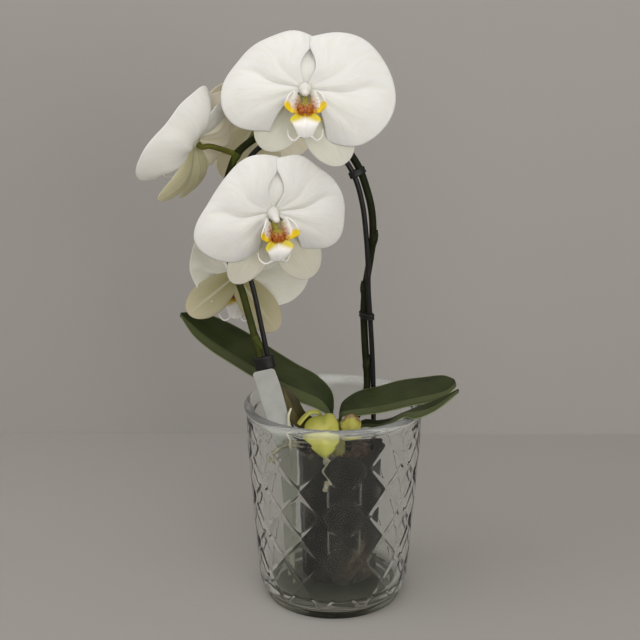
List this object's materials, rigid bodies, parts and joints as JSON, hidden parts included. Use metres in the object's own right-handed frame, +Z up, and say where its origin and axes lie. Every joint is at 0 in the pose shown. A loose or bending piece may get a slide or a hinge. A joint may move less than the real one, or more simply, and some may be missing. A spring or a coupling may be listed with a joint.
{
  "type": "potted moth orchid",
  "caption": "White moth orchid on one arched spike tied to a wire hoop, in a slim bark-filled pot that stands inside a pressed glass vase.",
  "frame": {"origin": "centre of the vase's flat base, on the surface it stands on", "axes": "+Z up, +X to the right and +Y to the back as the blooms are faced"},
  "size_m": [0.1971, 0.1439, 0.3786],
  "materials": {
    "clear_glass": "clear pressed glass, faintly green",
    "smoky_plastic": "dark see-through plastic",
    "bark": "rough damp bark",
    "black_wire": "black plastic coat over wire",
    "black_clip": "satin black",
    "leaf": "thick waxy leaf, satin",
    "olive_leaf": "aged leaf, satin",
    "leaf_stub": "yellow-green leaf, satin",
    "air_root": "dry papery root",
    "green_stem": "satin green stem",
    "petal": "soft white petal that lets light through",
    "lip": "waxy lip, white, yellow and orange",
    "label_plastic": "smooth pale plastic"
  },
  "bodies": {
    "root": {"vase": "clear_glass", "nursery_pot": "smoky_plastic", "bark_mix": "bark", "support_wire": "black_wire", "crown_stem": "leaf_stub", "root_front": "air_root", "root_left": "air_root", "leaf_left": "leaf", "leaf_right_upper": "leaf", "leaf_right_lower": "leaf", "leaf_olive": "olive_leaf", "leaf_stub_front": "leaf_stub", "leaf_stub_right": "leaf_stub", "flower_spike": "green_stem", "label": "label_plastic", "label_pin": "label_plastic", "clip_left": "black_clip", "tie_right": "black_clip", "tie_top": "black_clip", "bloom_top": "petal", "bloom_top_lip": "lip", "bloom_middle": "petal", "bloom_middle_lip": "lip", "bloom_left": "petal", "bloom_left_lip": "lip", "bloom_back": "petal", "bloom_back_lip": "lip", "bloom_low": "petal", "bloom_low_lip": "lip"}
  },
  "joints": []
}
